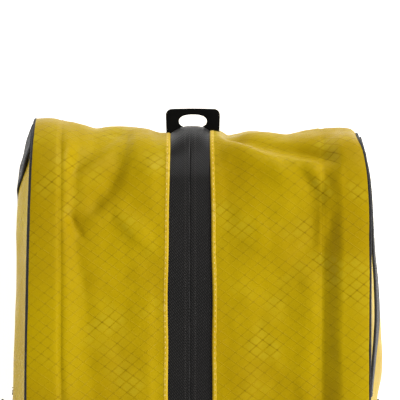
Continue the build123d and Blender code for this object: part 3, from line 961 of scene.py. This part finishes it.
WEB_THICK = 1.8
WEB_WIDTH = 25.0
LOOP_WIDTH = np.subtract(*box_mm("side_loop_right_front")[::-1])[2]
LOOP_SEAM = (0.76, 0.65)    # where a loop starts on the corner's seam, in shares of the seam's radius
LOOP_CLEAR = 0.3        # between a loop and the panel, and how deep its end is sunk in the seam
WEB_CLEAR = 0.15        # between a sewn web and the panel

# Each side loop's middle line from the corner's seam, as (distance from the middle of the bag, height).
LOOP_LINES = {
    -1: [(239, 226), (228, 216), (214, 205), (200, 197.5), (184, 193.5), (160, 193), (120, 193),
         (92, 193), (74, 193)],
    1: [(233, 225), (225, 223.4), (214, 223), (196, 223), (160, 223), (120, 223), (92, 223), (74, 223)],
}
# How far its upper and lower edges are from the middle plane, along the bag.
LOOP_EDGES = {
    -1: ([(70, 112.4), (180, 113.0), (205, 113.0), (217, 112.4), (229.5, 109.6), (237, 106.8), (244, 103.9)],
         [(70, 112.9), (200, 113.4), (217, 113.2), (230.7, 111.9), (243, 109.3), (250, 106.8), (258, 103.4)]),
    1: ([(70, 119.6), (80, 120.0), (100, 121.6), (126, 123.2), (150, 122.7), (172, 121.4), (200, 120.4),
         (218, 119.2), (228, 117.2), (238, 114.8), (250, 112.4)],
        [(70, 120.8), (100, 124.0), (126, 126.4), (150, 125.4), (172, 123.2), (210, 121.0), (228, 118.6),
         (240, 115.2), (250, 112.2)]),
}


def panel_x(side, y, z):
    """Where a side panel's outer face is."""
    y, z = np.asarray(y, float), np.asarray(z, float)
    edge_gap = np.minimum(HEIGHT / 2 - np.abs(z - HEIGHT / 2), HALF_LENGTH - np.abs(y)) - 2.6
    return side_surface(side, y, z, np.maximum(edge_gap, 0))


def within_seam(y, z, side, end):
    """Bring points that lie past a corner's seam back onto it; y is the distance from the bag's middle."""
    out_y, out_z = y - STRAIGHT, z - (HEIGHT - CORNER_R)
    angle = np.clip(np.arctan2(out_y, np.maximum(out_z, 0.0)), 0, math.pi / 2)
    limit = CORNER_R - piping_depth(side, STRAIGHT + CORNER_R * angle, end)
    reach = np.hypot(out_y, np.maximum(out_z, 0.0))
    share = np.where(out_y > 0, np.minimum(1.0, limit / np.maximum(reach, 1e-6)), 1.0)
    return STRAIGHT + out_y * share, z + np.maximum(out_z, 0.0) * (share - 1)


def side_loop(side_name, side, end_name, end):
    """A strap along the top of a side, from the corner's seam to its sewn end near the handle."""
    node = f"side_loop_{side_name}_{end_name}"
    near, far = sorted(abs(corner[1]) for corner in box_mm(node))
    seam_r = CORNER_R - float(piping_depth(side, STRAIGHT + QUARTER / 2, end))
    seam = (STRAIGHT + LOOP_SEAM[0] * seam_r, HEIGHT - CORNER_R + LOOP_SEAM[1] * seam_r)
    line = through([seam] + LOOP_LINES[side], 10)
    step = unit(np.gradient(line, axis=0))
    up = np.stack([-step[:, 1], step[:, 0]], axis=-1)
    up *= np.sign(up[:, 1:2] + 1e-9)
    sewn = smooth(0, 6, np.linalg.norm(line - line[0], axis=1))
    lift = (WEB_THICK / 2 + LOOP_CLEAR) * sewn - LOOP_CLEAR * (1 - sewn)

    def on_strap(share):
        """The way along, the height and the least distance out at a share of the strap's width."""
        y, z = within_seam(*(line + share * LOOP_WIDTH * up).T, side, end)
        return y, z, panel_x(side, y, z) + lift

    (y_up, z_up, x_up), (y_low, z_low, x_low) = on_strap(0.5), on_strap(-0.5)
    x_up = np.maximum(follow(LOOP_EDGES[side][0], y_up), x_up)
    x_low = np.maximum(follow(LOOP_EDGES[side][1], y_low), x_low)
    sunk = np.zeros_like(x_up)
    for share in (0.35, 0.2, 0.0, -0.2, -0.35):
        between = (0.5 + share) * x_up + (0.5 - share) * x_low
        sunk = np.maximum(sunk, on_strap(share)[2] - between)
    raised = np.convolve(np.pad(sunk, 4, mode="edge"), np.hanning(11)[1:-1] / 5, mode="valid") + 0.3 * sunk
    upper, lower = (np.stack([side * (x + raised), end * y, z], axis=-1)
                    for x, y, z in ((x_up, y_up, z_up), (x_low, y_low, z_low)))
    centres, across = (upper + lower) / 2, upper - lower
    middle = int(np.argmin(np.abs(line[:, 0] - (near + far) / 2)))
    halves = (("outer", slice(0, middle + 1), far, -1), ("inner", slice(middle, None), near, 1))
    for part, rows, hold, towards in halves:
        piece = ribbon(f"{node}_{part}", centres[rows], across[rows], LOOP_WIDTH, WEB_THICK, WEBBING)
        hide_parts(node, "loop_anchors_" + side_name)
        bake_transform(piece)
    bar_tack(f"loop_tack_{side_name}_{end_name}", side, end * (near - 2.5), line[-1, 1], centres[-1, 0])


def sewn_row(name, path, side, **size):
    """A row of black stitches on a side."""
    normals = np.tile([float(side), 0.0, 0.0], (len(path), 1))
    row = stitches(name, path, normals, BLACK_THREAD, **size)
    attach(row, "root")


def bar_tack(name, side, y, z, x):
    """A close double row of stitches that holds a strap's end."""
    t = np.linspace(-0.5, 0.5, 24)
    for number, shift in enumerate((-1.0, 1.0)):
        path = np.stack([np.full_like(t, x + side * (WEB_THICK / 2 + 0.05)), np.full_like(t, y + shift),
                         z + t * LOOP_WIDTH * 0.8], axis=-1)
        sewn_row(f"{name}_{number}", path, side, length=1.5, gap=0.4, radius=0.26)


HANDLE_LEAN = math.radians(5.5)
HANDLE_STANDOFF = 1.0       # how far outside its fold line the handle's webbing starts to hang
HANDLE_TURN_R = 15.5        # of the handle's two lower corners, along the webbing's middle
WEB_TOP_GAP = 4.0           # from the top of a sewn web to the handle's fold line
STITCH_BOX = 20.0
WRAP_HALF_WIDE = 13.6
WRAP_HALF_THICK = 4.0       # at its middle, of which the webbing takes WRAP_FLAT
WRAP_FLAT = 1.1
WRAP_SEAM = 9.5             # from the wrap's middle line to its seam


def web_middle(side, place, y, z):
    """Distance of a sewn web's middle from the bag's middle plane; place is the web's place along the bag."""
    def panel(share):
        return panel_x(side, np.full_like(z, place + share * WEB_WIDTH), z)

    share = (y - place) / WEB_WIDTH
    shortfall = np.zeros_like(z)
    for part in (-0.25, 0.0, 0.25):
        between = (0.5 + part) * panel(0.5) + (0.5 - part) * panel(-0.5)
        shortfall = np.maximum(shortfall, panel(part) - between)
    return (0.5 + share) * panel(0.5) + (0.5 - share) * panel(-0.5) + shortfall + WEB_THICK / 2 + WEB_CLEAR


def handle_webs(side_name, side):
    """The two lengths of webbing sewn up a side."""
    low, high = box_mm("handle_webs_" + side_name)
    spread = high[1] - WEB_WIDTH / 2
    for place_name, place in (("front", spread), ("rear", -spread)):
        z = np.linspace(low[2], high[2] - WEB_TOP_GAP, 60)
        y = np.full_like(z, place)
        centres = np.stack([side * web_middle(side, place, y, z), y, z], axis=-1)
        slant = web_middle(side, place, y + WEB_WIDTH / 2, z) - web_middle(side, place, y - WEB_WIDTH / 2, z)
        across = np.stack([side * slant, np.full_like(z, WEB_WIDTH), np.zeros_like(z)], axis=-1)
        piece = ribbon(f"handle_web_{side_name}_{place_name}", centres, across, WEB_WIDTH, WEB_THICK, WEBBING)
        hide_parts("handle_webs_" + side_name)
        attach(piece, "root")
        web_stitches(side_name, place_name, side, place, low[2] + 2.0)
        web_stitches(side_name, place_name + "_top", side, place, high[2] - 30.0)


def handle(side_name, side):
    """Webbing that goes on from the sewn webs and folds over into a carry handle with a padded wrap."""
    webs_high = box_mm("handle_webs_" + side_name)[1]
    top_z = webs_high[2]
    spread = webs_high[1] - WEB_WIDTH / 2
    low, high = box_mm("handle_" + side_name)
    pivot_x = min(abs(low[0]), abs(high[0])) + WEB_THICK / 2
    web_x = float(web_middle(side, spread, spread, np.array([top_z - WEB_TOP_GAP]))[0])
    fold_x = pivot_x + HANDLE_STANDOFF
    straight = top_z - low[2] - WEB_WIDTH / 2
    turn_r = HANDLE_TURN_R
    # Half the handle as (along the bag, out, up from the fold line); what has no "out" hangs at its lean.
    points = [(spread, web_x, -WEB_TOP_GAP), (spread, web_x + 0.35 * (fold_x - web_x), 0.2),
              (spread, web_x + 0.75 * (fold_x - web_x), 0.6), (spread, fold_x, -2.5)]
    folded = len(points)
    points += [(spread, None, -v) for v in np.linspace(8, straight - turn_r, 14)]
    points += [(spread - turn_r * (1 - math.cos(a)), None, -(straight - turn_r) - turn_r * math.sin(a))
               for a in np.linspace(0.12, math.pi / 2, 14)]
    points += [(v, None, -straight) for v in np.linspace(spread - turn_r - 4, 0, 9)]
    points += [(-y, x, z) for y, x, z in points[::-1][1:]]
    rows = []
    for y, x, z in points:
        if x is None:
            x = pivot_x + HANDLE_STANDOFF * (1 + z / straight) - z * math.sin(HANDLE_LEAN)
            z = z * math.cos(HANDLE_LEAN)
        rows.append((side * x, y, top_z + z))
    centres = np.array(rows)
    lean = np.array([side * math.sin(HANDLE_LEAN), 0, -math.cos(HANDLE_LEAN)])
    step = unit(np.gradient(centres, axis=0))
    across = unit(np.cross(np.cross(lean, [0.0, 1.0, 0.0]), step))
    for index in list(range(folded)) + list(range(-folded, 0)):
        across[index] = [0.0, math.copysign(1.0, across[index][1]), 0.0]
    piece = ribbon(f"handle_strap_{side_name}", centres, across, WEB_WIDTH, WEB_THICK, WEBBING)
    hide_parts("handle_" + side_name)
    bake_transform(piece)
    handle_wrap(side_name, side, centres[len(centres) // 2], lean)


def handle_wrap(side_name, side, middle, lean):
    """The padded wrap round the middle of a handle."""
    half = box_mm("handle_wrap_" + side_name)[1][1]
    out = np.array([side * math.cos(HANDLE_LEAN), 0, math.sin(HANDLE_LEAN)])
    t = np.concatenate([[-1.0, -0.995, -0.97, -0.93], np.linspace(-0.88, 0.88, 60), [0.93, 0.97, 0.995, 1.0]])
    turns = np.linspace(0, 2 * math.pi, 40, endpoint=False)
    points, cloth = [], []
    for u in t:
        close = (1 - abs(u) ** 26) ** 0.5
        puff = 0.88 + 0.12 * math.cos(math.pi * u / 2) + 0.03 * math.sin(9.0 * u + side) * (1 - abs(u))
        wide = WRAP_HALF_WIDE * (0.92 + 0.08 * close)
        thick = WRAP_FLAT + (WRAP_HALF_THICK - WRAP_FLAT) * close * puff
        for a in turns:
            c, s = math.cos(a), math.sin(a)
            p = (abs(c) ** 0.45) * math.copysign(1, c) * wide
            q = (abs(s) ** 0.7) * math.copysign(1, s) * thick
            seam = -0.5 * math.exp(-(((p - WRAP_SEAM) / 0.8) ** 2)) if s > 0 else 0.0
            points.append(middle + np.array([0, u * half, 0]) + lean * p + out * (q + seam))
            cloth.append((u * half, a * 9.0, 0))
    faces = loft_faces(len(t), len(turns), flip=side < 0)
    piece = new_piece(f"handle_wrap_{side_name}_pad", points, faces, WRAP, cloth)
    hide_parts("handle_wrap_" + side_name)
    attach(piece, "handle_" + side_name)


def web_stitches(side_name, place_name, side, place, low_z):
    """A sewn box with a cross, where webbing is fastened to a side panel."""
    half, bottom, top = STITCH_BOX / 2, 1.5, 1.5 + STITCH_BOX
    corners = [(-half, bottom), (half, bottom), (half, top), (-half, top)]
    sides = list(zip(corners, corners[1:] + corners[:1]))
    cross = [(corners[0], corners[2]), (corners[1], corners[3])]
    for number, (a, b) in enumerate(sides + cross):
        t = np.linspace(0, 1, 24)
        y = place + a[0] + t * (b[0] - a[0])
        z = low_z + a[1] + t * (b[1] - a[1])
        path = np.stack([side * (web_middle(side, place, y, z) + WEB_THICK / 2 + 0.02), y, z], axis=-1)
        sewn_row(f"web_stitch_{side_name}_{place_name}_{number}", path, side, radius=0.22)


# ---- lash tabs -------------------------------------------------------------------------------

def lash_tab(end_name, end):
    """The stiff tab with its oval hole, from inside the seam to its tip."""
    low, high = box_mm("lash_tab_" + end_name)
    root_low, root_high = box_mm("tab_root_" + end_name)
    tip = max(abs(low[1]), abs(high[1]))
    start, hinge = sorted((abs(root_low[1]), abs(root_high[1])))
    middle, half = end * (high[0] + low[0]) / 2, (high[0] - low[0]) / 2 + 0.15
    corner, arch, bevel, half_thick = 3.8, 0.5, 0.35, 0.95
    hole_y, hole_wide, hole_high = tip - 8.6, 9.35, 4.5

    def edge(x, y):
        """The tab's outline bows out a little along its tip."""
        return middle + x, y - arch * (x / half) ** 2

    points = [edge(-half + 0.3, start), edge(-half + 0.3, hinge), edge(-half, tip - corner - 2)]
    points += [edge(-half + corner * (1 - math.cos(a)), tip - corner * (1 - math.sin(a)))
               for a in np.linspace(0, math.pi / 2, 9)]
    points += [edge(x, tip) for x in np.linspace(-half + corner, half - corner, 12)[1:-1]]
    points += [edge(half - corner * (1 - math.sin(a)), tip - corner * (1 - math.cos(a)))
               for a in np.linspace(0, math.pi / 2, 9)]
    points += [edge(half, tip - corner - 2), edge(half - 0.3, hinge), edge(half - 0.3, start)]
    hole = []
    for a in np.linspace(0, 2 * math.pi, 44, endpoint=False):
        c, s = math.cos(a), math.sin(a)
        hole.append((middle + hole_wide * math.copysign(abs(c) ** 0.86, c),
                     hole_y + hole_high * math.copysign(abs(s) ** 0.86, s)))
    curve = bpy.data.curves.new("tab_outline", "CURVE")
    curve.dimensions = "2D"
    curve.fill_mode = "BOTH"
    curve.extrude = (half_thick - bevel) * MM
    curve.bevel_depth = bevel * MM
    curve.bevel_resolution = 2
    curve.offset = -bevel * MM
    for ring in (points, hole):
        spline = curve.splines.new("POLY")
        spline.points.add(len(ring) - 1)
        spline.use_cyclic_u = True
        for target, (x, y) in zip(spline.points, ring):
            target.co = (end * x * MM, end * y * MM, 0, 1)
    shape = add_object("tab_outline", curve)
    mesh = bpy.data.meshes.new_from_object(shape)
    bpy.data.objects.remove(shape)
    mesh.transform(Matrix.Translation((0, 0, TAB_Z * MM)))
    mesh.materials.clear()
    mesh.materials.append(TAB)
    piece = add_object(f"lash_tab_{end_name}_sheet", mesh)
    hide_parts("lash_tab_" + end_name, "tab_root_" + end_name)
    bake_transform(piece)


# ---- stage -----------------------------------------------------------------------------------

FLOOR_HALF = 6.0        # in metres, like the lights' places and sizes


def camera():
    """Straight above the front end, looking down, with the bag's front at the top."""
    data = bpy.data.cameras.new("camera")
    data.sensor_width = SENSOR
    data.lens = SENSOR * CAMERA_DISTANCE / CAMERA_SPAN
    data.clip_end = 50
    cam = add_object("camera", data)
    cam.location = (CAMERA_AIM[0] * MM, CAMERA_AIM[1] * MM, (HEIGHT + CAMERA_DISTANCE) * MM)
    bpy.context.scene.camera = cam


def softbox(name, place, size, power, aim=(0.0, 0.1, 0.15)):
    """A soft square light that faces a point on the bag."""
    data = bpy.data.lights.new(name, "AREA")
    data.shape = "SQUARE"
    data.size = size
    data.energy = power
    light = add_object(name, data)
    light.location = place
    light.rotation_euler = (Vector(aim) - Vector(place)).to_track_quat("-Z", "Y").to_euler()


def studio():
    """A pale floor, a pale surround and soft lights."""
    mesh = bpy.data.meshes.new("floor")
    r = FLOOR_HALF
    mesh.from_pydata([(-r, -r, 0), (r, -r, 0), (r, r, 0), (-r, r, 0)], [], [(0, 1, 2, 3)])
    paint = bpy.data.materials.new("floor_pale")
    paint.use_nodes = True
    shader = paint.node_tree.nodes["Principled BSDF"]
    shader.inputs["Base Color"].default_value = (0.93, 0.93, 0.93, 1)
    shader.inputs["Roughness"].default_value = 0.9
    shader.inputs["Specular IOR Level"].default_value = 0.1
    shader.inputs["Emission Color"].default_value = (1, 1, 1, 1)
    shader.inputs["Emission Strength"].default_value = 0.80
    mesh.materials.append(paint)
    add_object("floor", mesh)
    world = bpy.data.worlds.new("surround")
    world.use_nodes = True
    world.node_tree.nodes["Background"].inputs["Color"].default_value = (1, 1, 1, 1)
    world.node_tree.nodes["Background"].inputs["Strength"].default_value = 0.33
    bpy.context.scene.world = world
    bpy.context.scene.view_settings.view_transform = "Standard"
    softbox("key", (2.3, -1.2, 1.5), 1.0, 58)
    softbox("side", (-2.6, 0.3, 0.14), 0.5, 24)
    softbox("back", (1.3, 2.1, 2.1), 1.4, 60)


def dress_cad_nodes():
    """Better materials for the CAD nodes that stay."""
    dressed = {
        "slider_body": METAL, "puller": METAL, "zip_stop_front": METAL, "zip_stop_rear": METAL,
        "pull_grip": RUBBER, "base_board": BOARD,
    }
    for node, material in dressed.items():
        for place in bpy.data.objects[node].material_slots:
            place.material = material


camera()
studio()
dress_cad_nodes()
for side_name, side in SIDES.items():
    for end_name, end in ENDS.items():
        top_panel(side_name, side, end_name, end)
        edge_band(side_name, side, end_name, end)
        zip_tape(side_name, side, end_name, end)
        zip_coil(side_name, side, end_name, end)
        side_loop(side_name, side, end_name, end)
    side_panel(side_name, side)
    piping(side_name, side)
    handle_webs(side_name, side)
    handle(side_name, side)
for end_name, end in ENDS.items():
    end_panel(end_name, end)
    lash_tab(end_name, end)
base_panel()
